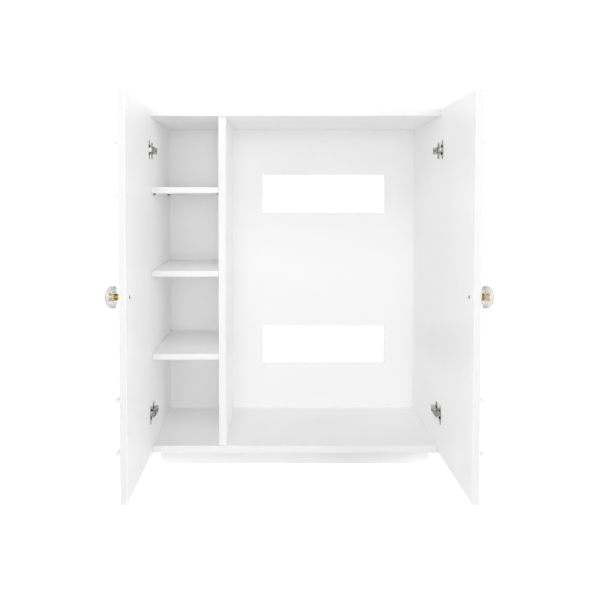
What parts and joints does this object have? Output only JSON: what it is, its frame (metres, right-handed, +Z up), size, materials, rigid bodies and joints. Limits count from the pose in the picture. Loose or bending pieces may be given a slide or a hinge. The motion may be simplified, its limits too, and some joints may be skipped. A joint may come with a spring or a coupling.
{
  "type": "apothecary cabinet",
  "caption": "White lacquered two-door cabinet on a recessed plinth, with a narrow shelved bay, an open bay with cut-outs in its back, beaded doors and disc knobs on brass stems.",
  "frame": {"origin": "on the floor, on the underside of the plinth's foot rail, under the middle of the carcass's footprint", "axes": "+Z up, the front with the doors faces -Y, +X to the right seen from the front"},
  "size_m": [0.988, 0.9655, 1.088],
  "materials": {
    "lacquer": "white satin lacquer on board",
    "back_lacquer": "white satin lacquer on thin board",
    "beech": "plain turned beech",
    "nickel": "nickel plated pressed steel",
    "zinc_steel": "zinc plated steel",
    "brass": "satin turned brass",
    "acrylic": "polished clear acrylic with a faint warm haze"
  },
  "bodies": {
    "cabinet": {"top_panel": "lacquer", "bottom_panel": "lacquer", "left_side_panel": "lacquer", "right_side_panel": "lacquer", "divider_panel": "lacquer", "back_panel": "back_lacquer", "back_panel_screws": "zinc_steel", "carcass_dowels": "beech", "plinth_front_board": "lacquer", "plinth_back_board": "lacquer", "plinth_left_board": "lacquer", "plinth_right_board": "lacquer", "plinth_foot_rail": "lacquer", "plinth_dowels": "beech", "upper_shelf": "lacquer", "middle_shelf": "lacquer", "lower_shelf": "lacquer", "shelf_pins": "zinc_steel", "left_upper_hinge_plate": "nickel", "left_lower_hinge_plate": "nickel", "right_upper_hinge_plate": "nickel", "right_lower_hinge_plate": "nickel", "left_upper_hinge_arm": "nickel", "left_lower_hinge_arm": "nickel", "right_upper_hinge_arm": "nickel", "right_lower_hinge_arm": "nickel", "hinge_plate_screws": "zinc_steel", "hinge_arm_screws": "zinc_steel", "hinge_arm_pins": "zinc_steel"},
    "left_links": {"left_upper_hinge_link": "nickel", "left_lower_hinge_link": "nickel"},
    "left_door": {"left_door_panel": "lacquer", "left_upper_hinge_cup": "nickel", "left_lower_hinge_cup": "nickel", "left_cup_screws": "zinc_steel", "left_cup_pins": "zinc_steel", "left_outer_moulding": "lacquer", "left_inner_moulding": "lacquer", "left_knob_stem": "brass", "left_knob_disc": "acrylic", "left_knob_screw": "zinc_steel"},
    "right_links": {"right_upper_hinge_link": "nickel", "right_lower_hinge_link": "nickel"},
    "right_door": {"right_door_panel": "lacquer", "right_upper_hinge_cup": "nickel", "right_lower_hinge_cup": "nickel", "right_cup_screws": "zinc_steel", "right_cup_pins": "zinc_steel", "right_outer_moulding": "lacquer", "right_inner_moulding": "lacquer", "right_knob_stem": "brass", "right_knob_disc": "acrylic", "right_knob_screw": "zinc_steel"}
  },
  "joints": [
    {"name": "left_link_swing", "type": "hinge", "parent": "cabinet", "child": "left_links", "pos_m": [-0.426, -0.2595, 0.568], "axis": [0, 0, 1], "range_deg": [-35.78, 2.46]},
    {"name": "left_door_swing", "type": "hinge", "parent": "left_links", "child": "left_door", "pos_m": [-0.439, -0.27116, 0.568], "axis": [0, 0, 1], "range_deg": [-6.96, 125.28]},
    {"name": "right_link_swing", "type": "hinge", "parent": "cabinet", "child": "right_links", "pos_m": [0.426, -0.2595, 0.568], "axis": [0, 0, 1], "range_deg": [-2.46, 35.78]},
    {"name": "right_door_swing", "type": "hinge", "parent": "right_links", "child": "right_door", "pos_m": [0.439, -0.27116, 0.568], "axis": [0, 0, 1], "range_deg": [-125.28, 6.96]}
  ],
  "couplings": [
    {"joint": "left_link_swing", "follows": "left_door_swing", "ratio": -0.28161},
    {"joint": "right_link_swing", "follows": "right_door_swing", "ratio": -0.28161}
  ]
}
